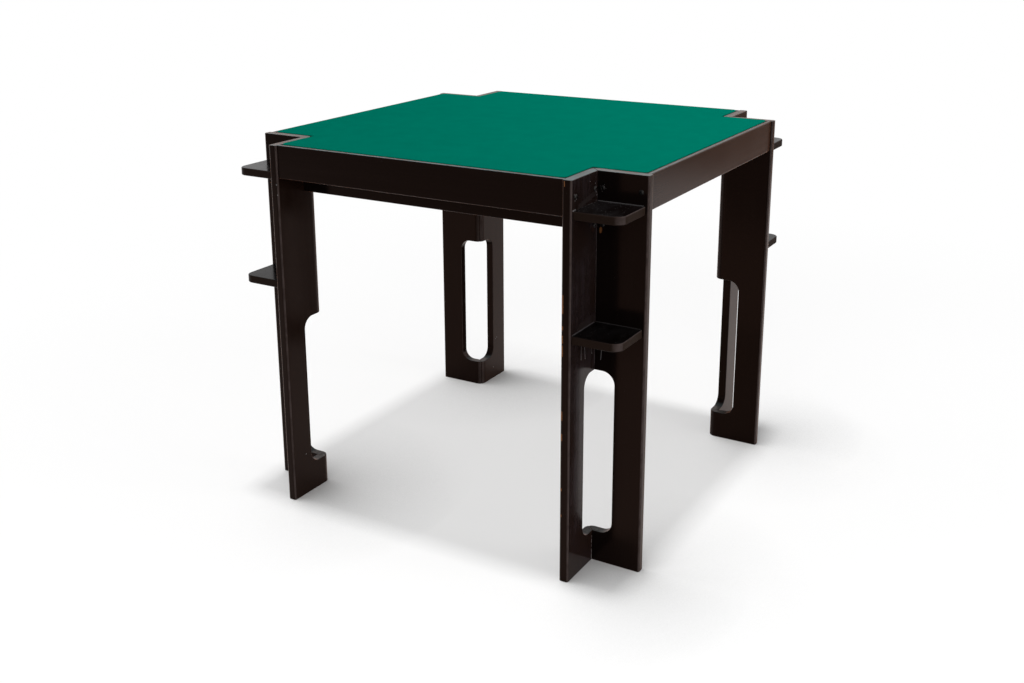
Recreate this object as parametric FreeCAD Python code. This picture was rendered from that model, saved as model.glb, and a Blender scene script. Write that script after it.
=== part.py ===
import FreeCAD, Part
import math
import os

# Square games table with a drop-in felt top and two open shelves in the notch at each corner.
# Millimetres, +Z up. The origin is on the floor under the middle of the top.
# The front is -Y and the right is +X. Every leg, apron and rail is one design turned about +Z.
# A leg's left and right board are named as seen by someone outside the corner, facing the table.

# Whole table
table_width = 840.0
table_height = 740.0
notch = 96.0

# Leg boards, mitred in pairs
board_thickness = 18.0
vertex_radius = 17.0
joint_edge_radius = 1.8
board_edge_radius = 4.5
end_edge_radius = 1.2

# Slot across the inner edge of each leg
slot_bottom = 60.0
slot_drop = 75.0
slot_reach = 39.0
slot_radius = 24.0

# Aprons with a rabbet for the top
apron_thickness = 20.0
apron_height = 64.0
apron_recess = 4.5
apron_edge_radius = 2.0
lip_width = 8.0
lip_edge_radius = 1.0

# Inner rails under the top
rail_thickness = 20.0
rail_height = 86.5
rail_edge_radius = 1.5

# Corner shelves
shelf_inset = 6.5
shelf_thickness = 15.0
shelf_radius = 20.0
shelf_edge_radius = 1.8
upper_shelf_drop = 53.0
shelf_spacing = 218.0

# Drop-in top
panel_thickness = 16.0
panel_gap = 1.0
panel_corner_radius = 10.0
panel_inner_radius = 3.0
felt_thickness = 2.0
felt_edge_radius = 1.0

# Connector bolts and their barrel nuts
bolt_radius = 3.0
bolt_head_radius = 4.5
bolt_head_height = 2.8
bolt_rim_height = 0.8
bolt_tip = 4.0
socket_flats = 4.0
socket_depth = 1.6
nut_radius = 4.5
nut_length = 14.0
nut_setback = 28.0
upper_bolt_drop = 13.5
lower_bolt_rise = 8.5

# Dowels that carry the shelves
dowel_radius = 3.0
dowel_in_board = 10.0
dowel_in_shelf = 15.0
dowel_place_shares = (0.25, 0.75)

# Loose tongues in the mitres
tongue_thickness = 3.0
tongue_width = 15.0
tongue_margin = 12.0
tongue_depth_share = 0.3

# Fits and cuts
bolt_clearance = 0.4
nut_clearance = 0.2
dowel_clearance = 0.1
tongue_clearance = 0.15
end_clearance = 0.5
overrun = 1.0

# Worked out from the sizes above. The first leg stands at the front left.
half = table_width / 2
leg_corner = notch - half
leg_vertex = leg_corner + board_thickness
span = -2 * leg_vertex
frame_height = table_height - felt_thickness
seat_height = frame_height - panel_thickness
apron_face = apron_recess - half
apron_middle = apron_face + apron_thickness / 2
rail_middle = leg_corner - rail_thickness / 2
rail_bottom = seat_height - rail_height
shelf_side = notch - shelf_inset
upper_shelf_top = frame_height - upper_shelf_drop
lower_shelf_top = upper_shelf_top - shelf_spacing
shelf_tops = {"upper": upper_shelf_top, "lower": lower_shelf_top}
slot_top = lower_shelf_top - shelf_thickness - slot_drop
bolt_length = board_thickness + nut_setback + nut_radius + bolt_tip
bolt_reach = nut_setback + nut_radius + bolt_tip + end_clearance

corner_names = ("front_left", "front_right", "back_right", "back_left")
side_names = ("front", "right", "back", "left")
quarter_turn = 90.0
full_turn = 360.0
hexagon_sides = 6

Vector = FreeCAD.Vector
origin = Vector(0, 0, 0)
along_x = Vector(1, 0, 0)
along_y = Vector(0, 1, 0)
along_z = Vector(0, 0, 1)
diagonal = Vector(1, -1, 0)
smooth_angle = math.radians(5)


def corner_arc(before, corner, after, radius):
    """Start, middle and end of the tangent arc that rounds a corner between two straight sides."""
    back = (before - corner).normalize()
    ahead = (after - corner).normalize()
    half_angle = back.getAngle(ahead) / 2
    reach = radius / math.tan(half_angle)
    crown = radius / math.sin(half_angle) - radius
    bisector = (back + ahead).normalize()
    return corner + back * reach, corner + bisector * crown, corner + ahead * reach


def rounded_face(points, radii):
    """A flat face with straight sides, each corner rounded by its own radius."""
    following = points[1:] + points[:1]
    arcs = []
    for index, point in enumerate(points):
        arcs.append(corner_arc(points[index - 1], point, following[index], radii[index]))
    edges = []
    for index, (start, middle, end) in enumerate(arcs):
        if radii[index] > 0:
            edges.append(Part.Arc(start, middle, end).toShape())
        next_start = arcs[(index + 1) % len(arcs)][0]
        edges.append(Part.LineSegment(end, next_start).toShape())
    return Part.Face(Part.Wire(edges))


def normal_at(face, point):
    """The face's outward direction at a point on it."""
    u, v = face.Surface.parameter(point)
    return face.normalAt(u, v)


def sharp_edges(solid, leave):
    """Edges where two faces meet at an angle, apart from the edges of the faces that leave picks."""
    found = []
    for edge in solid.Edges:
        faces = solid.ancestorsOfType(edge, Part.Face)
        if len(faces) < 2 or leave(faces[0]) or leave(faces[1]):
            continue
        middle = edge.valueAt((edge.FirstParameter + edge.LastParameter) / 2)
        turn = normal_at(faces[0], middle).getAngle(normal_at(faces[1], middle))
        if turn > smooth_angle:
            found.append(edge)
    return found


def eased(solid, radius, leave):
    """The solid with its sharp edges rounded, apart from those of the faces that leave picks."""
    return solid.makeFillet(radius, sharp_edges(solid, leave))


def is_mitre(face):
    """True for a flat face that lies along the corner's diagonal."""
    if not isinstance(face.Surface, Part.Plane):
        return False
    lean = face.Surface.Axis.getAngle(diagonal)
    return min(lean, math.pi - lean) < smooth_angle


def is_shelf_seat(face):
    """True for the two flat sides of the first leg's shelf that meet the boards."""
    middle = face.BoundBox.Center
    return (face.BoundBox.XLength < overrun and middle.x > leg_corner - overrun) or (
        face.BoundBox.YLength < overrun and middle.y > leg_corner - overrun
    )


def is_underside(face):
    """True for a flat face that looks down."""
    return isinstance(face.Surface, Part.Plane) and normal_at(face, face.CenterOfMass).z < 0


def across_corner(shape):
    """The shape mirrored across the first leg's diagonal."""
    return shape.mirror(origin, diagonal)


def turned(shape, quarters):
    """The shape turned about the table's upright axis."""
    copy = shape.copy()
    copy.rotate(origin, along_z, quarter_turn * quarters)
    return copy


def moved(shape, place):
    """A copy of the shape at another place."""
    copy = shape.copy()
    copy.translate(place)
    return copy


def bolt_places():
    """Where the first leg's right board is bolted: to the apron once, and to the rail twice."""
    upper = seat_height - upper_bolt_drop
    lower = rail_bottom + lower_bolt_rise
    apron_places = [Vector(leg_corner, apron_middle, upper)]
    rail_places = [Vector(leg_corner, rail_middle, upper), Vector(leg_corner, rail_middle, lower)]
    return apron_places, rail_places


def make_bolt():
    """A dome-headed connector bolt along +X, its head's seat at the origin, with a hexagon socket."""
    rise = bolt_head_height - bolt_rim_height
    dome_radius = (rise ** 2 + bolt_head_radius ** 2) / (2 * rise)
    dome_centre = dome_radius - bolt_head_height
    half_spread = math.asin(bolt_head_radius / dome_radius) / 2
    crown = Vector(-bolt_head_height, 0, 0)
    shoulder = Vector(
        dome_centre - dome_radius * math.cos(half_spread), dome_radius * math.sin(half_spread), 0
    )
    outline = [
        Vector(-bolt_rim_height, bolt_head_radius, 0),
        Vector(0, bolt_head_radius, 0),
        Vector(0, bolt_radius, 0),
        Vector(bolt_length, bolt_radius, 0),
        Vector(bolt_length, 0, 0),
        crown,
    ]
    edges = [Part.Arc(crown, shoulder, outline[0]).toShape()]
    for start, end in zip(outline, outline[1:]):
        edges.append(Part.LineSegment(start, end).toShape())
    bolt = Part.Face(Part.Wire(edges)).revolve(origin, along_x, full_turn)
    socket_radius = socket_flats / (2 * math.cos(math.pi / hexagon_sides))
    corners = []
    for side in range(hexagon_sides + 1):
        angle = 2 * math.pi * side / hexagon_sides
        corners.append(
            Vector(
                -bolt_head_height - overrun,
                socket_radius * math.cos(angle),
                socket_radius * math.sin(angle),
            )
        )
    socket = Part.Face(Part.makePolygon(corners)).extrude(along_x * (socket_depth + overrun))
    return bolt.cut(socket)


def make_nut():
    """A barrel nut across the bolt, its cross hole at the origin, its barrel along +Y."""
    barrel = Part.makeCylinder(nut_radius, nut_length, Vector(0, -nut_length / 2, 0), along_y)
    bore_length = 2 * (nut_radius + overrun)
    bore = Part.makeCylinder(
        bolt_radius + bolt_clearance, bore_length, Vector(-bore_length / 2, 0, 0), along_x
    )
    return barrel.cut(bore)


def drilled_end(rail, place, back_face):
    """A rail's left end drilled for one bolt, and from its back face for the bolt's barrel nut."""
    start = Vector(leg_vertex - overrun, place.y, place.z)
    shaft = Part.makeCylinder(bolt_radius + bolt_clearance, bolt_reach + overrun, start, along_x)
    nut_start = place.y - nut_length / 2 - nut_clearance
    pocket = Part.makeCylinder(
        nut_radius + nut_clearance,
        back_face + overrun - nut_start,
        Vector(leg_vertex + nut_setback, nut_start, place.z),
        along_y,
    )
    return rail.cut(shaft).cut(pocket)


def drilled_rail(rail, places, back_face):
    """A rail drilled alike at both ends."""
    for place in places:
        rail = drilled_end(rail, place, back_face)
        rail = rail.mirror(origin, along_x)
        rail = drilled_end(rail, place, back_face)
    return rail


def make_apron(places):
    """The front apron: a board with a rabbet along its top inner edge that leaves a narrow lip."""
    back_face = apron_face + apron_thickness
    lip_back = apron_face + lip_width
    bottom = frame_height - apron_height
    points = [
        Vector(leg_vertex, apron_face, bottom),
        Vector(leg_vertex, back_face, bottom),
        Vector(leg_vertex, back_face, seat_height),
        Vector(leg_vertex, lip_back, seat_height),
        Vector(leg_vertex, lip_back, frame_height),
        Vector(leg_vertex, apron_face, frame_height),
    ]
    radii = [apron_edge_radius, apron_edge_radius, 0, 0, lip_edge_radius, apron_edge_radius]
    apron = rounded_face(points, radii).extrude(along_x * span)
    return drilled_rail(apron, places, back_face)


def make_rail(places):
    """The front inner rail, a plain board on edge that carries the top behind the apron."""
    face = leg_corner - rail_thickness
    points = [
        Vector(leg_vertex, face, rail_bottom),
        Vector(leg_vertex, leg_corner, rail_bottom),
        Vector(leg_vertex, leg_corner, seat_height),
        Vector(leg_vertex, face, seat_height),
    ]
    radii = [rail_edge_radius, rail_edge_radius, 0, 0]
    rail = rounded_face(points, radii).extrude(along_x * span)
    return drilled_rail(rail, places, leg_corner)


def shelf_dowels(grow):
    """Dowels from the first leg's right board into its shelves, or their holes if grown by a fit."""
    dowels = []
    end_room = end_clearance if grow > 0 else 0
    length = dowel_in_shelf + dowel_in_board + 2 * end_room
    for shelf_top in shelf_tops.values():
        for share in dowel_place_shares:
            start = Vector(
                leg_corner - dowel_in_shelf - end_room,
                shelf_inset - half + share * shelf_side,
                shelf_top - shelf_thickness / 2,
            )
            dowels.append(Part.makeCylinder(dowel_radius + grow, length, start, along_x))
    return dowels


def mitre_tongues(grow):
    """Tongues across the first leg's mitre, above and below its slot, or their grooves if grown."""
    centre = leg_corner + tongue_depth_share * board_thickness
    end_room = end_clearance if grow > 0 else 0
    thickness = tongue_thickness + 2 * grow
    width = tongue_width + 2 * end_room
    tongues = []
    for foot, top in ((0, slot_bottom), (slot_top, frame_height)):
        bottom = foot + tongue_margin - end_room
        height = top - foot - 2 * tongue_margin + 2 * end_room
        tongue = Part.makeBox(thickness, width, height, Vector(-thickness / 2, -width / 2, bottom))
        tongue.rotate(origin, along_z, quarter_turn / 2)
        tongues.append(moved(tongue, Vector(centre, centre, 0)))
    return tongues


def board_outline():
    """Plan of the first leg's right board, each board's arris eased where the mitre meets the vertex."""
    into_mitre = Vector(1, 1, 0).normalize()
    off_mitre = Vector(1, -1, 0).normalize()
    arc_centre = Vector(leg_vertex - vertex_radius, leg_vertex - vertex_radius, 0)
    ease_swing = vertex_radius - joint_edge_radius
    mitre_end = arc_centre + into_mitre * math.sqrt(ease_swing ** 2 - joint_edge_radius ** 2)
    ease_centre = mitre_end + off_mitre * joint_edge_radius
    to_ease = (ease_centre - arc_centre).normalize()
    arc_start = arc_centre + along_x * vertex_radius
    arc_middle = arc_centre + (along_x + to_ease).normalize() * vertex_radius
    arc_end = arc_centre + to_ease * vertex_radius
    ease_middle = ease_centre + (to_ease - off_mitre).normalize() * joint_edge_radius

    left_front = Vector(leg_corner, -half, 0)
    right_front = Vector(leg_vertex, -half, 0)
    mitre_start = Vector(leg_corner, leg_corner, 0)
    left_arc = corner_arc(mitre_start, left_front, right_front, board_edge_radius)
    right_arc = corner_arc(left_front, right_front, arc_start, board_edge_radius)
    edges = [
        Part.LineSegment(mitre_start, left_arc[0]),
        Part.Arc(*left_arc),
        Part.LineSegment(left_arc[2], right_arc[0]),
        Part.Arc(*right_arc),
        Part.LineSegment(right_arc[2], arc_start),
        Part.Arc(arc_start, arc_middle, arc_end),
        Part.Arc(arc_end, ease_middle, mitre_end),
        Part.LineSegment(mitre_end, mitre_start),
    ]
    return Part.Face(Part.Wire([edge.toShape() for edge in edges]))


def make_right_board(places):
    """The first leg's right board: full height, mitred at the vertex, with its half of the slot."""
    board = board_outline().extrude(along_z * frame_height)
    start = leg_corner - overrun
    slot_front = leg_corner - slot_reach
    slot_back = leg_vertex + overrun
    slot_points = [
        Vector(start, slot_front, slot_bottom),
        Vector(start, slot_back, slot_bottom),
        Vector(start, slot_back, slot_top),
        Vector(start, slot_front, slot_top),
    ]
    slot = rounded_face(slot_points, [slot_radius, 0, 0, slot_radius])
    board = board.cut(slot.extrude(along_x * (board_thickness + 2 * overrun)))
    board = eased(board, end_edge_radius, is_mitre)

    for place in places:
        hole_start = place - along_x * overrun
        hole_length = board_thickness + 2 * overrun
        board = board.cut(Part.makeCylinder(bolt_radius + bolt_clearance, hole_length, hole_start, along_x))
    for hole in shelf_dowels(dowel_clearance):
        board = board.cut(hole)
    for groove in mitre_tongues(tongue_clearance):
        board = board.cut(groove)
    return board


def make_shelf(shelf_top):
    """One corner shelf in the first leg: a square with its free corner rounded."""
    bottom = shelf_top - shelf_thickness
    front = shelf_inset - half
    points = [
        Vector(front, front, bottom),
        Vector(leg_corner, front, bottom),
        Vector(leg_corner, leg_corner, bottom),
        Vector(front, leg_corner, bottom),
    ]
    shelf = rounded_face(points, [shelf_radius, 0, 0, 0]).extrude(along_z * shelf_thickness)
    shelf = eased(shelf, shelf_edge_radius, is_shelf_seat)
    for hole in shelf_dowels(dowel_clearance):
        shelf = shelf.cut(hole).cut(across_corner(hole))
    return shelf


def panel_face(height):
    """Outline of the drop-in top, a square with a square notch at each leg."""
    edge = -apron_face - lip_width - panel_gap
    inner = span / 2 - panel_gap
    points = []
    radii = []
    for quarters in range(len(side_names)):
        turn = FreeCAD.Rotation(along_z, quarter_turn * quarters)
        for x, radius in ((-inner, panel_corner_radius), (inner, panel_corner_radius)):
            points.append(turn.multVec(Vector(x, -edge, height)))
            radii.append(radius)
        points.append(turn.multVec(Vector(inner, -inner, height)))
        radii.append(panel_inner_radius)
    return rounded_face(points, radii)


def make_top():
    """The drop-in board, level with the tops of the legs, and the felt that stands above them."""
    board = panel_face(seat_height).extrude(along_z * panel_thickness)
    felt = panel_face(seat_height + panel_thickness).extrude(along_z * felt_thickness)
    return board, eased(felt, felt_edge_radius, is_underside)


def all_round(shapes):
    """Copies of the first corner's shapes on both its boards, at every corner of the table."""
    copies = []
    for quarters in range(len(corner_names)):
        for shape in shapes:
            copies.append(turned(shape, quarters))
            copies.append(turned(across_corner(shape), quarters))
    return copies


def fastener_groups(apron_places, rail_places):
    """Bolts, nuts, dowels and tongues as groups of separate solids, by node name."""
    bolt = make_bolt()
    nut = make_nut()
    nut_shift = along_x * (board_thickness + nut_setback)
    groups = {}
    for name, places in (("apron", apron_places), ("rail", rail_places)):
        groups[name + "_bolts"] = all_round([moved(bolt, place) for place in places])
        groups[name + "_barrel_nuts"] = all_round([moved(nut, place + nut_shift) for place in places])
    groups["shelf_dowels"] = all_round(shelf_dowels(0))
    tongues = mitre_tongues(0)
    groups["mitre_tongues"] = []
    for quarters in range(len(corner_names)):
        groups["mitre_tongues"] += [turned(tongue, quarters) for tongue in tongues]
    return groups


def main():
    os.makedirs("parts", exist_ok=True)
    apron_places, rail_places = bolt_places()
    right_board = make_right_board(apron_places + rail_places)
    left_board = across_corner(right_board)
    apron = make_apron(apron_places)
    rail = make_rail(rail_places)

    nodes = {}
    for quarters, corner in enumerate(corner_names):
        nodes[corner + "_leg_right_board"] = turned(right_board, quarters)
        nodes[corner + "_leg_left_board"] = turned(left_board, quarters)
    for quarters, side in enumerate(side_names):
        nodes[side + "_apron"] = turned(apron, quarters)
        nodes[side + "_inner_rail"] = turned(rail, quarters)
    for level, shelf_top in shelf_tops.items():
        shelf = make_shelf(shelf_top)
        for quarters, corner in enumerate(corner_names):
            nodes[corner + "_" + level + "_shelf"] = turned(shelf, quarters)
    nodes["top_board"], nodes["felt_top"] = make_top()
    for name, solids in fastener_groups(apron_places, rail_places).items():
        nodes[name] = Part.Compound(solids)

    for name, shape in nodes.items():
        shape.exportStep("parts/" + name + ".step")


main()
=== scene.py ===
import math
from collections import namedtuple

import bmesh
import bpy
from mathutils import Euler, Matrix, Vector


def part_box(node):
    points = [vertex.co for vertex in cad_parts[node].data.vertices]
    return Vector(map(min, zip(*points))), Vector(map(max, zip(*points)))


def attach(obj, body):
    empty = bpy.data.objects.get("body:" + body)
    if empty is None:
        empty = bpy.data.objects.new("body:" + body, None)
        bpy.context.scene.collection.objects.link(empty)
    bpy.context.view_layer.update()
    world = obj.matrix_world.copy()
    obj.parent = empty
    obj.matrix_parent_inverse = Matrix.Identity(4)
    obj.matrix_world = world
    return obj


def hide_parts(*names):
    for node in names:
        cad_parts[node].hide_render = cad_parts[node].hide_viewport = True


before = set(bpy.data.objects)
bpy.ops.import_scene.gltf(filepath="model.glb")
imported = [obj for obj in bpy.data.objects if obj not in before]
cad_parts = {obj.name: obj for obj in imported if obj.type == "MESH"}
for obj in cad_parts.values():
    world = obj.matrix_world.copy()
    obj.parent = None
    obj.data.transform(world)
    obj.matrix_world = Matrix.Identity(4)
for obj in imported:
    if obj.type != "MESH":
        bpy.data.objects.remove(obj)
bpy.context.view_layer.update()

# Photograph: its size, and the camera fitted to the table's edges in it, in pixels, metres and degrees
photo_width = 1024
photo_height = 683
focal_px = 1192.24
principal_px = (511.84, 250.0)
camera_place = (1.2035, -2.1081, 1.1516)
camera_angles = (74.4118, 0.1994, 30.4040)
sensor_width = 36.0
camera_reach = 100.0

# Felt cover
quarter_turn = math.pi / 2
felt_gap = 0.001
felt_corner_radius = 0.010
felt_inner_radius = 0.003
felt_roll_radius = 0.0018
felt_roll_steps = 4
arc_steps = 8

# Floor and surround, in metres from the table's centre: a span goes from where a change starts to its end
floor_half = 6.0
floor_segments = 2
floor_colour = (0.45, 0.45, 0.45, 1)
bare_floor_colour = (0.22, 0.18, 0.16, 1)
sheet_end_right = (1.05, 1.5)
sheet_end_back = (1.9, 3.4)
floor_lift = 0.54
front_lift_share = 0.15
lift_span = (-1.45, -1.05)
white_distance = (1.0, 2.6)
white_span = (-1.2, -0.4)
# Painted shadow: ambient occlusion leaning to the left darkens the floor's glow in streaks to the right of
# the feet
painted_shadow_reach = 0.31
painted_shadow_power = 1.7
painted_shadow_lean = (-0.82, -0.2, 0.53)
painted_shadow_samples = 8
back_direction = Vector((-0.46, 0.87, 0.0)).normalized()
surround_light = 0.25
surround_front = 0.42
surround_back = 1.0
surround_span = (0.45, 0.85)
lamps = (
    # name, place, aim, width, height, power, spread in degrees, colour
    ("overhead", (0, 0, 24.0), (0, 0, 0), 2.0, 2.0, 3130, 180, (1, 1, 1)),
    ("front_fill", (1.2, -4.2, 2.6), (0, 0, 0.4), 3.0, 2.4, 55, 180, (1, 1, 1)),
    ("left_fill", (-4.0, -0.5, 2.2), (0, 0, 0.4), 3.0, 3.0, 30, 180, (1, 1, 1)),
    ("right_fill", (4.2, 0.4, 2.2), (0, 0, 0.4), 2.6, 2.6, 45, 180, (1, 1, 1)),
    ("right_strip", (2.5, -0.95, 0.45), (0.4, -0.37, 0.40), 0.4, 0.7, 0.4, 50, (1, 0.95, 0.93)),
)

# Colours, linear
lacquer_colour = (0.0016, 0.0011, 0.0011, 1)
lacquer_streak_colour = (0.0046, 0.0030, 0.0028, 1)
# Milky haze of old polish, laid only on faces that look right, and so also painted light from the right
haze_and_light_colour = (0.0150, 0.0142, 0.0178, 1)
# Painted sheen: the brown of the shelves' sides, most on those that face right
shelf_sheen_colour = (0.030, 0.019, 0.014, 1)
# Painted reflection: a warm tone on faces that look right
warm_reflection_colour = (0.036, 0.013, 0.006, 1)
lacquer_mirror_tint = (1.0, 0.50, 0.34, 1)
lacquer_sheen_tint = (1.0, 0.44, 0.26, 1)
# Rubbed wear on rounded edges and tops, which is also a painted highlight, brightest on edges that turn
# right
arris_wear_and_highlight_colour = (0.070, 0.054, 0.051, 1)
top_wear_and_highlight_colour = (0.125, 0.186, 0.202, 1)
dust_colour = (0.016, 0.0150, 0.0158, 1)
bare_wood_colour = (0.34, 0.14, 0.05, 1)
residue_colour = (0.42, 0.41, 0.42, 1)
felt_colour = (0.0, 0.180, 0.124, 1)
felt_dark_colour = (0.0, 0.112, 0.077, 1)
felt_sheen_tint = (0.0, 0.8, 0.5, 1)
panel_colours = ((0.52, 0.37, 0.22, 1), (0.36, 0.23, 0.12, 1))
hardwood_colours = ((0.66, 0.50, 0.32, 1), (0.50, 0.35, 0.20, 1))
black_steel_colours = ((0.002, 0.0017, 0.0017, 1), (0.075, 0.070, 0.066, 1))
plated_steel_colours = ((0.55, 0.55, 0.53, 1), (0.72, 0.72, 0.70, 1))

# Lacquer: how much of each effect shows, and the roughness that each adds to the film's own
film_roughness = 0.05
cloud_roughness = 0.08
streak_roughness = 0.22
arris_roughness = 0.5
top_roughness = 0.6
dust_roughness = 0.10
shelf_side_roughness = 0.5
mark_roughness = 0.4
sheen_roughness = 0.3
arris_amount = 0.9
speck_share = 0.035
# Haze on faces that look right, which is also painted light
haze_and_light_cloud_span = (0.32, 0.68)
haze_and_light_streak_span = (0.3, 0.7)
haze_and_light_patch_share = 1.5
haze_and_light_even_share = 0.15
# The shelves' painted sheen on their sides
shelf_edge_sheen_share = 0.42
shelf_side_sheen_share = 0.6
dust_grain_share = 0.35
dust_line_share = 0.20
cloud_height = 1.5
film_bump_strength = 0.3
film_bump_depth = 0.00012

# Directions of brush marks and grain: their noise is drawn out along the axis that has a small share
grain_share = 0.012
along_x = (grain_share, 1, 1)
along_y = (1, grain_share, 1)
along_z = (1, 1, grain_share)
along_none = (1, 1, 1)
along_shelf = (0.5, 0.5, 0.5)

# Pieces of the near corner, whose marks are placed from their boxes
near_left_low, near_left_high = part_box("front_right_leg_left_board")
near_right_low, near_right_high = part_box("front_right_leg_right_board")
upper_shelf_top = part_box("front_right_upper_shelf")[1].z
lower_shelf_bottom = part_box("front_right_lower_shelf")[0].z
lower_shelf_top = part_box("front_right_lower_shelf")[1].z
notch_wall = near_left_high.x
leg_top = near_left_high.z

# Chips of the near leg: heights above the floor, drops below the leg's top, distances from a front edge
chip_strength = 0.7
chip_raggedness = 1.3
arris_chip_half_width = 0.0017
arris_chip_inward = 0.0032
arris_chip_back = 0.0003
arris_chips = (
    # top, bottom
    (0.539, 0.508),
    (0.484, 0.479),
    (0.467, 0.455),
    (0.449, 0.431),
    (0.328, 0.313),
    (0.286, 0.275),
    (0.182, 0.179),
    (0.131, 0.129),
)
strip_chip_inward = 0.005
strip_chip_drops = (0.003, 0.011)
strip_chip_half_width = 0.0009
torn_chip = ((0.0885, 0.6375), (0.0890, 0.6315))
torn_chip_half_width = 0.0032
torn_chip_strength = 0.5

# Pale scuffs round the near leg's bolts: place along the board and height from the bolt's centre, strength
bolt_drop = 0.0295
outer_bolt_place = 0.0145
inner_bolt_place = 0.086
outer_left_scuffs = ((-0.004, 0.004, 0.22), (0.004, -0.005, 0.3), (-0.001, -0.007, 0.3))
inner_left_scuffs = ((0.002, 0.009, 0.3), (0.006, 0.002, 0.25), (0.005, -0.007, 0.45), (0.008, -0.013, 0.5))
inner_right_scuffs = ((0.005, 0.003, 0.18), (-0.003, 0.006, 0.2), (0.001, -0.006, 0.2), (-0.006, 0.0, 0.18))
nick_place = 0.068
nick_drop = 0.014

# Traces of glue and polish on the near leg
corner_margin = 0.0006
corner_traces = (
    # top, bottom, half width, strength, raggedness
    (0.70, 0.46, 0.0010, 0.13, 1.6),
    (0.45, 0.39, 0.0009, 0.16, 1.6),
    (0.049, 0.046, 0.0017, 0.3, 2.4),
    (0.041, 0.036, 0.0017, 0.5, 2.4),
    (0.031, 0.027, 0.0017, 0.35, 2.4),
    (0.021, 0.003, 0.0017, 0.7, 2.4),
)
left_upper_shelf_traces = (
    # start along the board and above the shelf, end likewise, half width, strength, raggedness
    (0.092, 0.016, 0.030, 0.004, 0.0060, 0.028, 2.2),
    (0.016, 0.001, 0.006, 0.001, 0.0016, 0.4, 1.4),
)
left_lower_shelf_traces = (
    (0.088, 0.010, 0.035, 0.006, 0.0100, 0.014, 2.0),
    (0.090, 0.001, 0.008, 0.001, 0.0013, 0.16, 1.6),
)
right_upper_shelf_traces = ((0.094, 0.0006, 0.010, 0.0006, 0.0011, 0.22, 1.6),)
right_lower_shelf_traces = ((0.094, 0.0006, 0.010, 0.0006, 0.0011, 0.06, 1.6),)
right_drip = ((0.0815, -0.010, 0.0844, -0.054, 0.0008, 0.3, 1.0),)
left_drips = (
    # start along the board, end along it, drop below the lower shelf, strength
    (0.034, 0.0427, 0.012, 0.25),
    (0.0427, 0.0427, 0.039, 0.45),
    (0.0530, 0.0582, 0.042, 0.4),
    (0.0580, 0.0560, 0.024, 0.25),
    (0.0740, 0.0741, 0.014, 0.5),
    (0.0800, 0.0835, 0.040, 0.3),
)
drip_start = 0.001
drip_half_width = 0.0007
drip_end_half_width = 0.0012

# Small pale nicks on two other boards
other_nick_half_width = 0.0016
other_nick_strength = 0.5
other_nick_raggedness = 1.4
left_leg_nicks = (
    # inward from the right face, back from the front edge, height
    (0.002, 0.0, 0.642),
    (0.003, 0.0, 0.662),
    (0.0, 0.040, 0.088),
)
back_leg_nicks = (
    # forward from the back edge, height
    (0.046, 0.104),
    (0.040, 0.106),
    (0.058, 0.030),
)

# The colour sockets of a mix node, whose names its sockets of other kinds share
mix_first = 6
mix_second = 7
mix_result = 2

Mark = namedtuple("Mark", "colour start end half_width strength raggedness")


def feed(tree, node, inputs):
    """Links each of a node's inputs where it is given a socket, or else sets it."""
    for key, value in inputs.items():
        if isinstance(value, bpy.types.NodeSocket):
            tree.links.new(value, node.inputs[key])
        else:
            node.inputs[key].default_value = value


def make(tree, kind, inputs=None, **settings):
    """A new node with its settings and inputs."""
    made = tree.nodes.new(kind)
    for name, value in settings.items():
        setattr(made, name, value)
    feed(tree, made, inputs or {})
    return made


def reckon(tree, operation, first, second=0.0, third=0.0, clamp=False):
    """The output of a math node."""
    inputs = {0: first, 1: second, 2: third}
    return make(tree, "ShaderNodeMath", inputs, operation=operation, use_clamp=clamp).outputs[0]


def times(tree, first, second):
    """Two values multiplied."""
    return reckon(tree, "MULTIPLY", first, second)


def times_plus(tree, first, second, third, clamp=False):
    """Two values multiplied, and a third added."""
    return reckon(tree, "MULTIPLY_ADD", first, second, third, clamp)


def reckon_vector(tree, operation, first, second=(0, 0, 0), output="Vector"):
    """The output of a vector math node."""
    made = make(tree, "ShaderNodeVectorMath", {0: first, 1: second}, operation=operation)
    return made.outputs[output]


def parts_of(tree, vector):
    """The X, Y and Z of a vector."""
    return make(tree, "ShaderNodeSeparateXYZ", {0: vector}).outputs


def eased(tree, value, span, ends=(0.0, 1.0)):
    """A value mapped smoothly from one span to another, and held at its ends."""
    inputs = {"Value": value, "From Min": span[0], "From Max": span[1], "To Min": ends[0], "To Max": ends[1]}
    return make(tree, "ShaderNodeMapRange", inputs, interpolation_type="SMOOTHSTEP").outputs["Result"]


def noise(tree, vector, scale, detail=2.0, roughness=0.5):
    """The value of a noise texture."""
    inputs = {"Vector": vector, "Scale": scale, "Detail": detail, "Roughness": roughness}
    return make(tree, "ShaderNodeTexNoise", inputs).outputs["Fac"]


def blended(tree, share, first, second):
    """One colour with another laid over it by a mask."""
    inputs = {"Factor": share, mix_first: first, mix_second: second}
    return make(tree, "ShaderNodeMix", inputs, data_type="RGBA").outputs[mix_result]


def new_group(name, inputs, outputs):
    """An empty shader node group, with the sockets that its nodes read and the node that they feed."""
    group = bpy.data.node_groups.new(name, "ShaderNodeTree")
    for label, kind, value in inputs:
        socket = group.interface.new_socket(label, in_out="INPUT", socket_type=kind)
        socket.default_value = value
    for label in outputs:
        group.interface.new_socket(label, in_out="OUTPUT", socket_type="NodeSocketFloat")
    start = group.nodes.new("NodeGroupInput")
    end = group.nodes.new("NodeGroupOutput")
    return group, start.outputs, end


def place_group(tree, group, inputs):
    """The outputs of a node group placed in a material with its own values."""
    return make(tree, "ShaderNodeGroup", inputs, node_tree=group).outputs


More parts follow.
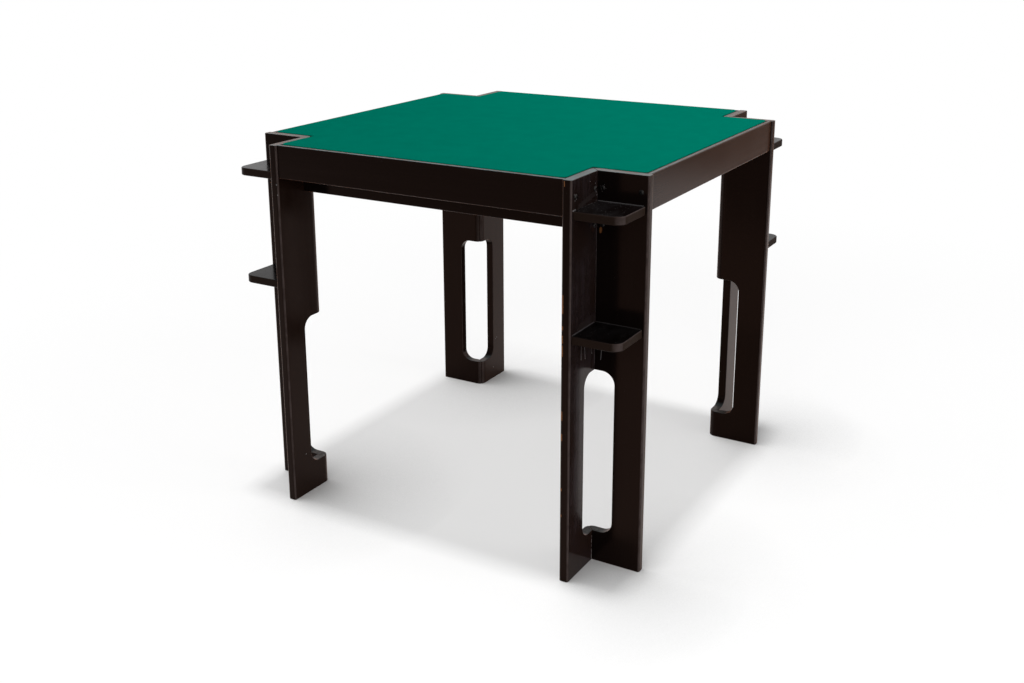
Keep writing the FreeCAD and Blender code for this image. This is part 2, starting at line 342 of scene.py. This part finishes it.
def brushed_film_group():
    """Brush marks drawn out along the grain, the slow cloudiness of a hand-rubbed film, and grit in it."""
    fine_scale = 420.0
    fine_share = 0.6
    broad_scale = 75.0
    cloud_scale = 11.0
    grit_scale = 330.0
    grit_span = (0.755, 0.785)
    inputs = [("Stretch", "NodeSocketVector", (1, 1, 1))]
    group, given, end = new_group("brushed_film", inputs, ["Streak", "Cloud", "Speck"])
    place = make(group, "ShaderNodeTexCoord").outputs["Object"]
    drawn = reckon_vector(group, "MULTIPLY", place, given["Stretch"])
    fine = noise(group, drawn, fine_scale, detail=3.0, roughness=0.6)
    broad = times(group, noise(group, drawn, broad_scale), 1 - fine_share)
    grit = noise(group, place, grit_scale, detail=1.0)
    feed(group, end, {
        "Streak": times_plus(group, fine, fine_share, broad),
        "Cloud": noise(group, place, cloud_scale, detail=4.0, roughness=0.55),
        "Speck": eased(group, grit, grit_span),
    })
    return group


def arris_wear_and_highlight_group():
    """Where a rounded edge is rubbed pale and painted with a highlight, strongest where it turns right and
    weak underneath, and which faces look up or right, found from the normal.
    """
    rounded_span = (0.995, 0.93)
    rightward_span = (0.1, 0.8)
    rightward_ends = (0.08, 1.0)
    underside_span = (-0.4, 0.0)
    underside_ends = (0.2, 1.0)
    facing_span = (0.75, 0.95)
    worn_scale = 40.0
    worn_span = (0.30, 0.62)
    worn_ends = (0.55, 1.0)
    handled_span = (0.4, 0.6)
    handled_ends = (0.3, 1.0)
    inputs = [("Amount", "NodeSocketFloat", 0.5)]
    group, given, end = new_group("arris_wear_and_highlight", inputs, ["Mask", "Top", "Right"])
    coordinates = make(group, "ShaderNodeTexCoord").outputs
    place = coordinates["Object"]
    facing = parts_of(group, coordinates["Normal"])
    sides = [reckon(group, "ABSOLUTE", part) for part in facing]
    most = reckon(group, "MAXIMUM", reckon(group, "MAXIMUM", sides[0], sides[1]), sides[2])
    worn = eased(group, noise(group, place, worn_scale, detail=4.0, roughness=0.6), worn_span, worn_ends)
    rightward = eased(group, facing[0], rightward_span, rightward_ends)
    mask = times(group, times(group, eased(group, most, rounded_span), rightward), worn)
    mask = times(group, mask, eased(group, facing[2], underside_span, underside_ends))
    handled = times(group, worn, eased(group, parts_of(group, place)[2], handled_span, handled_ends))
    # Mask and Top are wear and a painted highlight together.
    feed(group, end, {
        "Mask": times(group, mask, given["Amount"]),
        "Top": times(group, eased(group, facing[2], facing_span), handled),
        "Right": eased(group, facing[0], facing_span),
    })
    return group


def settled_dust_group():
    """Dust on a shelf: a cloudy film, single grains, and a line swept up against the notch's walls."""
    upward_span = (0.6, 0.9)
    wiping = (1.0, 0.45, 1.0)
    wiped_scale = 34.0
    wiped_span = (0.36, 0.70)
    grain_scale = 420.0
    grain_span = (0.735, 0.765)
    ragged_scale = 240.0
    ragged_depth = 0.004
    line_span = (0.0032, 0.0016)
    inputs = [("Wall", "NodeSocketFloat", 0.3)]
    group, given, end = new_group("settled_dust", inputs, ["Film", "Grains", "Line", "Edge"])
    coordinates = make(group, "ShaderNodeTexCoord").outputs
    place = coordinates["Object"]
    upward = eased(group, parts_of(group, coordinates["Normal"])[2], upward_span)
    smeared = reckon_vector(group, "MULTIPLY", place, wiping)
    wiped = eased(group, noise(group, smeared, wiped_scale, detail=5.0, roughness=0.65), wiped_span)
    grains = eased(group, noise(group, place, grain_scale, detail=1.0), grain_span)
    across = parts_of(group, reckon_vector(group, "ABSOLUTE", place))
    off_wall = reckon(group, "SUBTRACT", reckon(group, "MINIMUM", across[0], across[1]), given["Wall"])
    ragged = times(group, noise(group, place, ragged_scale, detail=3.0), ragged_depth)
    line = eased(group, reckon(group, "ADD", off_wall, ragged), line_span)
    feed(group, end, {
        "Film": times(group, upward, wiped),
        "Grains": times(group, upward, grains),
        "Line": times(group, upward, line),
        "Edge": reckon(group, "SUBTRACT", 1.0, upward),
    })
    return group


def line_mark_group():
    """A chip, scratch or dried run: a ragged mark along a line from one point to another."""
    least_length_squared = 1e-9
    ragged_scale = 500.0
    ragged_middle = 0.5
    edge_span = (1.0, 0.5)
    inputs = [
        ("Start", "NodeSocketVector", (0, 0, 0)),
        ("End", "NodeSocketVector", (0, 0, 0)),
        ("Half Width", "NodeSocketFloat", 0.001),
        ("Raggedness", "NodeSocketFloat", 0.5),
        ("Strength", "NodeSocketFloat", 1.0),
    ]
    group, given, end = new_group("line_mark", inputs, ["Mask"])
    place = make(group, "ShaderNodeTexCoord").outputs["Object"]
    along = reckon_vector(group, "SUBTRACT", given["End"], given["Start"])
    reach = reckon_vector(group, "SUBTRACT", place, given["Start"])
    length_squared = reckon_vector(group, "DOT_PRODUCT", along, along, "Value")
    length_squared = reckon(group, "MAXIMUM", length_squared, least_length_squared)
    travel = reckon_vector(group, "DOT_PRODUCT", reach, along, "Value")
    share = reckon(group, "DIVIDE", travel, length_squared, clamp=True)
    nearest = make(group, "ShaderNodeVectorMath", {0: along, "Scale": share}, operation="SCALE").outputs[0]
    gap = reckon_vector(group, "LENGTH", reckon_vector(group, "SUBTRACT", reach, nearest), output="Value")
    ragged = reckon(group, "SUBTRACT", noise(group, place, ragged_scale, detail=3.0), ragged_middle)
    ragged = times(group, ragged, given["Raggedness"])
    share_of_width = reckon(group, "ADD", reckon(group, "DIVIDE", gap, given["Half Width"]), ragged)
    feed(group, end, {"Mask": times(group, eased(group, share_of_width, edge_span), given["Strength"])})
    return group


brushed_film = brushed_film_group()
arris_wear_and_highlight = arris_wear_and_highlight_group()
settled_dust = settled_dust_group()
line_mark = line_mark_group()


def empty_material(name):
    """A material with no nodes."""
    material = bpy.data.materials.new(name)
    material.use_nodes = True
    material.node_tree.nodes.clear()
    return material, material.node_tree


def new_material(name):
    """A material with only its shader and output."""
    material, tree = empty_material(name)
    shader = make(tree, "ShaderNodeBsdfPrincipled")
    make(tree, "ShaderNodeOutputMaterial", {"Surface": shader.outputs[0]})
    return material, tree, shader


def on_near_left(back, height):
    """A point on the near leg's left board, in the notch, measured back from the board's front edge."""
    return near_left_high.x, near_left_low.y + back, height


def on_near_right(inward, height):
    """A point on the near leg's right board, in the notch, measured inward from the board's front edge."""
    return near_right_high.x - inward, near_right_low.y, height


def on_near_arris(height):
    """A point on the near leg's left front arris."""
    return near_left_low.x + arris_chip_inward, near_left_low.y + arris_chip_back, height


def chip(start, end, half_width, strength=chip_strength):
    """A chip through the lacquer to the wood."""
    return Mark(bare_wood_colour, start, end, half_width, strength, chip_raggedness)


def residue(start, end, half_width, strength, raggedness=1.0):
    """A pale trace of glue, polish or plaster dust."""
    return Mark(residue_colour, start, end, half_width, strength, raggedness)


def scuffs(on_board, bolt_place, spots, half_width, raggedness):
    """Pale spots round a bolt head."""
    marks = []
    for along, up, strength in spots:
        place = on_board(bolt_place + along, leg_top - bolt_drop + up)
        marks.append(residue(place, place, half_width, strength, raggedness))
    return marks


def traces(on_board, level, lines):
    """Pale lines on a board, at heights from a level."""
    marks = []
    for start, start_up, end, end_up, half_width, strength, raggedness in lines:
        start_point = on_board(start, level + start_up)
        end_point = on_board(end, level + end_up)
        marks.append(residue(start_point, end_point, half_width, strength, raggedness))
    return marks


def drips():
    """Dried runs below the lower shelf on the near leg's left board, each with a drop at its end."""
    marks = []
    for start, end, drop, strength in left_drips:
        start_point = on_near_left(start, lower_shelf_bottom - drip_start)
        end_point = on_near_left(end, lower_shelf_bottom - drop)
        marks.append(residue(start_point, end_point, drip_half_width, strength))
        marks.append(residue(end_point, end_point, drip_end_half_width, strength))
    return marks


def near_left_marks():
    """Wear of the near leg's left board, in order: arris, bolts, corner, shelves and drips."""
    marks = []
    for top, bottom in arris_chips:
        marks.append(chip(on_near_arris(top), on_near_arris(bottom), arris_chip_half_width))
    strip_x = near_left_low.x + strip_chip_inward
    strip_top, strip_end = [(strip_x, near_left_low.y, leg_top - drop) for drop in strip_chip_drops]
    marks.append(chip(strip_top, strip_end, strip_chip_half_width))
    marks += scuffs(on_near_left, outer_bolt_place, outer_left_scuffs, half_width=0.0016, raggedness=1.0)
    marks += scuffs(on_near_left, inner_bolt_place, inner_left_scuffs, half_width=0.0018, raggedness=1.4)
    nick = on_near_left(nick_place, leg_top - nick_drop)
    marks.append(residue(nick, nick, half_width=0.0010, strength=0.9))
    corner = near_right_low.y - near_left_low.y - corner_margin
    for top, bottom, half_width, strength, raggedness in corner_traces:
        start = on_near_left(corner, top)
        end = on_near_left(corner, bottom)
        marks.append(residue(start, end, half_width, strength, raggedness))
    marks += traces(on_near_left, upper_shelf_top, left_upper_shelf_traces)
    marks += traces(on_near_left, lower_shelf_top, left_lower_shelf_traces)
    return marks + drips()


def near_right_marks():
    """Wear of the near leg's right board: round its inner bolts, along the shelves and one drip."""
    marks = scuffs(on_near_right, inner_bolt_place, inner_right_scuffs, half_width=0.0009, raggedness=1.5)
    torn_top, torn_end = [on_near_right(inward, height) for inward, height in torn_chip]
    marks.append(chip(torn_top, torn_end, torn_chip_half_width, torn_chip_strength))
    marks += traces(on_near_right, upper_shelf_top, right_upper_shelf_traces)
    marks += traces(on_near_right, lower_shelf_top, right_lower_shelf_traces)
    marks += traces(on_near_right, lower_shelf_bottom, right_drip)
    return marks


def nicks(places):
    """Small pale nicks at points of a board."""
    looks = (other_nick_half_width, other_nick_strength, other_nick_raggedness)
    return [residue(place, place, *looks) for place in places]


def left_leg_marks():
    """Nicks of the left leg's right board."""
    low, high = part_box("front_left_leg_right_board")
    return nicks([(high.x - inward, low.y + back, height) for inward, back, height in left_leg_nicks])


def back_leg_marks():
    """Nicks of the back leg's left board."""
    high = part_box("back_left_leg_left_board")[1]
    return nicks([(high.x, high.y - forward, height) for forward, height in back_leg_nicks])


def hazed_and_lit(tree, film, arris, haze_and_light, colour):
    """A lacquer's colour with the milky haze of old polish, laid only on the faces that look right, where it
    is also painted light from the right.
    """
    cloudy = eased(tree, film["Cloud"], haze_and_light_cloud_span)
    patches = times(tree, cloudy, eased(tree, film["Streak"], haze_and_light_streak_span))
    patches = times_plus(tree, patches, haze_and_light_patch_share * haze_and_light, haze_and_light_even_share * haze_and_light, clamp=True)
    return blended(tree, times(tree, patches, arris["Right"]), colour, haze_and_light_colour)


def dusted_and_sheened(tree, arris, dusty, colour, rough):
    """A shelf's colour and roughness with its dust, and browner sides, most where they face right, as a
    painted sheen.
    """
    dust = place_group(tree, settled_dust, {"Wall": notch_wall})
    # The sides' brown layers are painted sheen; the rest is dust.
    layers = (
        (dust["Edge"], shelf_edge_sheen_share, shelf_sheen_colour),
        (arris["Right"], shelf_side_sheen_share, shelf_sheen_colour),
        (dust["Film"], dusty, dust_colour),
        (dust["Grains"], dust_grain_share, residue_colour),
        (dust["Line"], dust_line_share, residue_colour),
    )
    for mask, share, layer_colour in layers:
        colour = blended(tree, times(tree, mask, share), colour, layer_colour)
    rough = times_plus(tree, dust["Film"], dust_roughness, rough)
    rough = times_plus(tree, arris["Right"], shelf_side_roughness, rough)
    return colour, rough


def marked(tree, marks, colour, rough):
    """A colour and roughness with each mark laid over them in turn."""
    for mark in marks:
        mask = place_group(tree, line_mark, {
            "Start": mark.start,
            "End": mark.end,
            "Half Width": mark.half_width,
            "Raggedness": mark.raggedness,
            "Strength": mark.strength,
        })["Mask"]
        colour = blended(tree, mask, colour, mark.colour)
        rough = times_plus(tree, mask, mark_roughness, rough)
    return colour, rough


def lacquer(name, stretch, haze_and_light=0.0, warm_reflection=0.0, dusty=0.0, marks=(), sheen=0.6, shine=0.10):
    """Near-black brushed lacquer on wood: arrises and tops rubbed pale with a painted highlight; haze with
    painted light, a painted warm reflection, dust with a painted shelf sheen, or marks.
    """
    material, tree, shader = new_material(name)
    film = place_group(tree, brushed_film, {"Stretch": stretch})
    arris = place_group(tree, arris_wear_and_highlight, {"Amount": arris_amount})
    streak = film["Streak"]
    colour = blended(tree, streak, lacquer_colour, lacquer_streak_colour)
    rough = times_plus(tree, film["Cloud"], cloud_roughness, film_roughness)
    rough = times_plus(tree, times(tree, streak, streak), streak_roughness, rough)
    # Haze of old polish on faces that look right, also painted light from the right.
    if haze_and_light:
        colour = hazed_and_lit(tree, film, arris, haze_and_light, colour)
    # Painted reflection: faces that look right take a warm tone.
    if warm_reflection:
        colour = blended(tree, times(tree, arris["Right"], warm_reflection), colour, warm_reflection_colour)
    if dusty:
        colour, rough = dusted_and_sheened(tree, arris, dusty, colour, rough)
    # Rubbed edges and tops, which also carry a painted highlight.
    colour = blended(tree, arris["Mask"], colour, arris_wear_and_highlight_colour)
    rough = times_plus(tree, arris["Mask"], arris_roughness, rough)
    if not dusty:
        colour = blended(tree, arris["Top"], colour, top_wear_and_highlight_colour)
        rough = times_plus(tree, arris["Top"], top_roughness, rough)
    colour = blended(tree, times(tree, film["Speck"], speck_share), colour, residue_colour)
    colour, rough = marked(tree, marks, colour, rough)

    height = times_plus(tree, film["Cloud"], cloud_height, streak)
    relief = {"Height": height, "Strength": film_bump_strength, "Distance": film_bump_depth}
    bump = make(tree, "ShaderNodeBump", relief)
    feed(tree, shader, {
        "Base Color": colour,
        "Roughness": rough,
        "Normal": bump.outputs[0],
        "Specular IOR Level": shine,
        "Specular Tint": lacquer_mirror_tint,
        "Sheen Weight": sheen,
        "Sheen Roughness": sheen_roughness,
        "Sheen Tint": lacquer_sheen_tint,
    })
    return material


def felt_cloth():
    """Woollen felt: matted fibres with a soft nap, and painted light that makes it brighter towards the back
    right.
    """
    fibre_scale = 1400.0
    fibre_share = 0.6
    nap_scale = 26.0
    nap_share = 0.5
    light_gradient_span = (-0.7, 0.7)
    light_gradient_ends = (-0.18, 0.34)
    material, tree, shader = new_material("green_felt")
    place = make(tree, "ShaderNodeTexCoord").outputs["Object"]
    fibres = noise(tree, place, fibre_scale, detail=4.0, roughness=0.7)
    nap = noise(tree, place, nap_scale, detail=4.0, roughness=0.6)
    parts = parts_of(tree, place)
    # Painted light: the felt's colour brightens towards the back right.
    painted_light = eased(tree, reckon(tree, "ADD", parts[0], parts[1]), light_gradient_span, light_gradient_ends)
    share = times_plus(tree, fibres, fibre_share, times_plus(tree, nap, nap_share, painted_light), clamp=True)
    bump = make(tree, "ShaderNodeBump", {"Height": fibres, "Strength": 0.5, "Distance": 0.0004})
    feed(tree, shader, {
        "Base Color": blended(tree, share, felt_dark_colour, felt_colour),
        "Roughness": 1.0,
        "Normal": bump.outputs[0],
        "Specular IOR Level": 0.0,
        "Sheen Weight": 0.04,
        "Sheen Roughness": 0.5,
        "Sheen Tint": felt_sheen_tint,
    })
    return material


def bare_timber(name, colours, stretch, edge_shade=0.0):
    """Unfinished wood, its grain drawn out along the piece, with its upright edges darkened by painted shade
    or not.
    """
    grain_contrast = 1.6
    grain_offset = -0.4
    upright_span = (0.9, 0.5)
    smoothest = 0.55
    cloudy_share = 0.2
    pale, dark = colours
    material, tree, shader = new_material(name)
    film = place_group(tree, brushed_film, {"Stretch": stretch})
    grain = times_plus(tree, film["Streak"], grain_contrast, grain_offset, clamp=True)
    bump = make(tree, "ShaderNodeBump", {"Height": grain, "Strength": 0.3, "Distance": 0.0002})
    colour = blended(tree, grain, dark, pale)
    # Painted shade: the upright edges, seen in the gap round the top, are darkened.
    if edge_shade:
        facing = make(tree, "ShaderNodeTexCoord").outputs["Normal"]
        level = reckon(tree, "ABSOLUTE", parts_of(tree, facing)[2])
        shaded_edges = eased(tree, level, upright_span, (0.0, edge_shade))
        colour = blended(tree, shaded_edges, colour, lacquer_streak_colour)
    feed(tree, shader, {
        "Base Color": colour,
        "Roughness": times_plus(tree, film["Cloud"], cloudy_share, smoothest),
        "Normal": bump.outputs[0],
    })
    return material


def fastener_steel(name, colours, roughness, metallic, shine):
    """Steel with a finish that is rubbed through in patches and round its rim, where the rubbing is also a
    painted highlight, strongest on the side that turns right.
    """
    rubbed_span = (0.60, 0.72)
    streaky_share = 0.25
    colour, worn_colour = colours
    material, tree, shader = new_material(name)
    film = place_group(tree, brushed_film, {"Stretch": along_none})
    rim = place_group(tree, arris_wear_and_highlight, {"Amount": arris_amount})
    # The rim follows the arris mask, so it is also a painted highlight on the side that turns right.
    rubbed = reckon(tree, "MAXIMUM", eased(tree, film["Streak"], rubbed_span), rim["Mask"])
    feed(tree, shader, {
        "Base Color": blended(tree, rubbed, colour, worn_colour),
        "Roughness": times_plus(tree, film["Streak"], streaky_share, roughness),
        "Metallic": metallic,
        "Specular IOR Level": shine,
    })
    return material


def dress(node, material):
    """Gives a carried-over CAD piece its finish."""
    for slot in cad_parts[node].material_slots:
        slot.material = material


def dress_carcass():
    """Finishes the legs, aprons, rails and shelves alike, each with its brush marks along its length."""
    upright = lacquer("lacquer_upright", along_z)
    lengthwise = lacquer("lacquer_left_to_right", along_x)
    crosswise = lacquer("lacquer_front_to_back", along_y)
    upper = lacquer("lacquer_upper_shelves", along_shelf, dusty=0.35, sheen=0.0, shine=0.04)
    lower = lacquer("lacquer_lower_shelves", along_shelf, dusty=0.4, sheen=0.0, shine=0.04)
    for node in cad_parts:
        if "_leg_" in node:
            dress(node, upright)
        elif node in ("left_apron", "right_apron", "left_inner_rail", "right_inner_rail"):
            dress(node, crosswise)
        elif node.endswith(("_apron", "_inner_rail")):
            dress(node, lengthwise)
        elif node.endswith("_upper_shelf"):
            dress(node, upper)
        elif node.endswith("_lower_shelf"):
            dress(node, lower)


def dress_worn_boards():
    """Finishes the leg boards that have haze with painted light, a painted warm reflection, or marks of
    their own.
    """
    near_left = lacquer("lacquer_near_left", along_z, haze_and_light=0.8, marks=near_left_marks(), sheen=0.35)
    near_right = lacquer("lacquer_near_right", along_z, marks=near_right_marks())
    left_leg = lacquer("lacquer_left_leg", along_z, warm_reflection=0.15, marks=left_leg_marks())
    back_leg = lacquer("lacquer_back_leg", along_z, warm_reflection=0.35, marks=back_leg_marks(), shine=0.09)
    right_notch = lacquer("lacquer_right_notch", along_z, warm_reflection=0.25, shine=0.09)
    dress("front_right_leg_left_board", near_left)
    dress("front_right_leg_right_board", near_right)
    dress("front_left_leg_right_board", left_leg)
    dress("back_left_leg_left_board", back_leg)
    dress("back_right_leg_right_board", right_notch)


def dress_inner_pieces():
    """Finishes the top's board, the dowels and tongues, and the fasteners."""
    hardwood = bare_timber("pale_hardwood", hardwood_colours, along_z)
    black = fastener_steel("black_steel", black_steel_colours, roughness=0.3, metallic=0.0, shine=0.06)
    plated = fastener_steel("plated_steel", plated_steel_colours, roughness=0.25, metallic=1.0, shine=0.5)
    # The top board's upright edges get painted shade for the dark gap round the felt.
    dress("top_board", bare_timber("panel_wood", panel_colours, along_x, edge_shade=0.95))
    dress("shelf_dowels", hardwood)
    dress("mitre_tongues", hardwood)
    dress("apron_bolts", black)
    dress("rail_bolts", black)
    dress("apron_barrel_nuts", plated)
    dress("rail_barrel_nuts", plated)


def outline(inset):
    """The felt's outline, drawn in by an inset, as points with the same count at every inset."""
    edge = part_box("felt_top")[1].x - inset
    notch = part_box("front_apron")[1].x - felt_gap - inset
    outer = felt_corner_radius - inset
    inner = felt_inner_radius + inset
    arcs = (
        # centre, radius, start angle, sweep: two outer corners of a side, then the corner in its notch
        (outer - notch, outer - edge, outer, math.pi, quarter_turn),
        (notch - outer, outer - edge, outer, -quarter_turn, quarter_turn),
        (notch + inner, -notch - inner, inner, math.pi, -quarter_turn),
    )
    points = []
    for side in range(4):
        turn = Matrix.Rotation(quarter_turn * side, 2)
        for x, y, radius, start, sweep in arcs:
            for step in range(arc_steps + 1):
                angle = start + sweep * step / arc_steps
                points.append(turn @ Vector((x + radius * math.cos(angle), y + radius * math.sin(angle))))
    return points


def felt_mesh(low, high):
    """The cloth as a closed slab, its top edge rolled over."""
    work = bmesh.new()
    rings = [(0.0, low.z), (0.0, high.z - felt_roll_radius)]
    for step in range(1, felt_roll_steps + 1):
        angle = quarter_turn * step / felt_roll_steps
        inset = felt_roll_radius * (1 - math.cos(angle))
        rings.append((inset, high.z - felt_roll_radius * (1 - math.sin(angle))))
    loops = []
    for inset, height in rings:
        loops.append([work.verts.new((x, y, height)) for x, y in outline(inset)])
    for lower, upper in zip(loops, loops[1:]):
        for index in range(len(lower)):
            following = (index + 1) % len(lower)
            work.faces.new((lower[index], lower[following], upper[following], upper[index]))
    work.faces.new(loops[-1])
    work.faces.new(list(reversed(loops[0])))
    bmesh.ops.recalc_face_normals(work, faces=work.faces)
    mesh = bpy.data.meshes.new("felt_cover")
    work.to_mesh(mesh)
    work.free()
    # The edge is all four-sided faces, and the top and bottom are one many-sided face each.
    for face in mesh.polygons:
        face.use_smooth = len(face.vertices) == 4
    return mesh


def felt_cover():
    """The cloth on the drop-in top, which stands for the plain sheet on its board."""
    low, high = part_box("felt_top")
    mesh = felt_mesh(low, high)
    mesh.materials.append(felt_cloth())
    cover = bpy.data.objects.new("felt_cover", mesh)
    bpy.context.scene.collection.objects.link(cover)
    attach(cover, "top")
    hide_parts("felt_top")


def seen_share(tree):
    """One for rays from the camera, mirrors and glass, and none for the light that falls on the table."""
    path = make(tree, "ShaderNodeLightPath").outputs
    seen = reckon(tree, "ADD", path["Is Camera Ray"], path["Is Glossy Ray"])
    return reckon(tree, "ADD", seen, path["Is Transmission Ray"], clamp=True)


def floor_finish():
    """A matt pale floor that keeps the table's shadow, glows towards white round the table with a painted
    shadow beside the feet, and is seen as white further off.
    """
    material, tree = empty_material("pale_floor")
    place = make(tree, "ShaderNodeTexCoord").outputs["Object"]
    parts = parts_of(tree, place)
    distance = reckon_vector(tree, "LENGTH", place, output="Value")
    backward = reckon_vector(tree, "DOT_PRODUCT", place, back_direction, "Value")
    seen = seen_share(tree)

    # Far back on the right, outside the picture, the white sheet ends and the floor is darker.
    ended = times(tree, eased(tree, parts[0], sheet_end_right), eased(tree, parts[1], sheet_end_back))
    sheet = reckon(tree, "SUBTRACT", 1.0, ended)
    colour = blended(tree, ended, floor_colour, bare_floor_colour)
    matt = make(tree, "ShaderNodeBsdfDiffuse", {"Color": colour})

    # Round the table the floor glows towards white, less in front; beside the feet a painted shadow, from
    # ambient occlusion leaning left, darkens the glow.
    lean = make(tree, "ShaderNodeCombineXYZ", dict(enumerate(painted_shadow_lean))).outputs[0]
    shading = {"Distance": painted_shadow_reach, "Normal": lean}
    painted_shadow = make(tree, "ShaderNodeAmbientOcclusion", shading, samples=painted_shadow_samples)
    unshadowed_share = reckon(tree, "POWER", painted_shadow.outputs["AO"], painted_shadow_power)
    lift = eased(tree, backward, lift_span, (floor_lift * front_lift_share, floor_lift))
    lift = times(tree, times(tree, lift, unshadowed_share), times(tree, sheet, seen))
    glow = make(tree, "ShaderNodeEmission", {"Strength": lift})
    near_floor = make(tree, "ShaderNodeAddShader", {0: matt.outputs[0], 1: glow.outputs[0]})

    # Further off it is as white as the surround behind it.
    white = make(tree, "ShaderNodeEmission", {"Strength": seen})
    far = times(tree, eased(tree, distance, white_distance), eased(tree, backward, white_span))
    far = times(tree, far, sheet)
    whole = make(tree, "ShaderNodeMixShader", {0: far, 1: near_floor.outputs[0], 2: white.outputs[0]})
    make(tree, "ShaderNodeOutputMaterial", {"Surface": whole.outputs[0]})
    return material


def studio_floor():
    """The floor that the table stands on."""
    work = bmesh.new()
    bmesh.ops.create_grid(work, x_segments=floor_segments, y_segments=floor_segments, size=floor_half)
    mesh = bpy.data.meshes.new("floor")
    work.to_mesh(mesh)
    work.free()
    mesh.materials.append(floor_finish())
    floor = bpy.data.objects.new("floor", mesh)
    bpy.context.scene.collection.objects.link(floor)


def studio_world():
    """A white surround, seen dimmer towards the front, and dimmer still as a light."""
    world = bpy.data.worlds.new("studio")
    bpy.context.scene.world = world
    world.use_nodes = True
    tree = world.node_tree
    tree.nodes.clear()
    toward = make(tree, "ShaderNodeTexCoord").outputs["Generated"]
    backward = reckon_vector(tree, "DOT_PRODUCT", toward, back_direction, "Value")
    added = (surround_front - surround_light, surround_back - surround_light)
    level = eased(tree, backward, surround_span, added)
    strength = times_plus(tree, seen_share(tree), level, surround_light)
    back = make(tree, "ShaderNodeBackground", {"Color": (1, 1, 1, 1), "Strength": strength})
    make(tree, "ShaderNodeOutputWorld", {"Surface": back.outputs[0]})


def studio_lamps():
    """Soft rectangular lamps round the table."""
    for name, place, aim, width, height, power, spread, colour in lamps:
        light = bpy.data.lights.new(name, "AREA")
        light.shape = "RECTANGLE"
        light.size = width
        light.size_y = height
        light.energy = power
        light.spread = math.radians(spread)
        light.color = colour
        lamp = bpy.data.objects.new(name, light)
        bpy.context.scene.collection.objects.link(lamp)
        lamp.location = place
        lamp.rotation_euler = (Vector(aim) - Vector(place)).to_track_quat("-Z", "Y").to_euler()


def photo_camera():
    """The camera at the photograph's viewing angle, with a shift towards its framing."""
    data = bpy.data.cameras.new("photo_camera")
    data.sensor_fit = "HORIZONTAL"
    data.sensor_width = sensor_width
    data.lens = focal_px * sensor_width / photo_width
    data.shift_x = (photo_width / 2 - principal_px[0]) / photo_width
    data.shift_y = (principal_px[1] - photo_height / 2) / photo_width
    data.clip_end = camera_reach
    camera = bpy.data.objects.new("photo_camera", data)
    bpy.context.scene.collection.objects.link(camera)
    turn = Euler([math.radians(angle) for angle in camera_angles]).to_matrix().to_4x4()
    camera.matrix_world = Matrix.Translation(camera_place) @ turn
    bpy.context.scene.camera = camera


dress_carcass()
dress_worn_boards()
dress_inner_pieces()
felt_cover()
studio_floor()
studio_world()
studio_lamps()
photo_camera()
bpy.context.scene.view_settings.view_transform = "Standard"
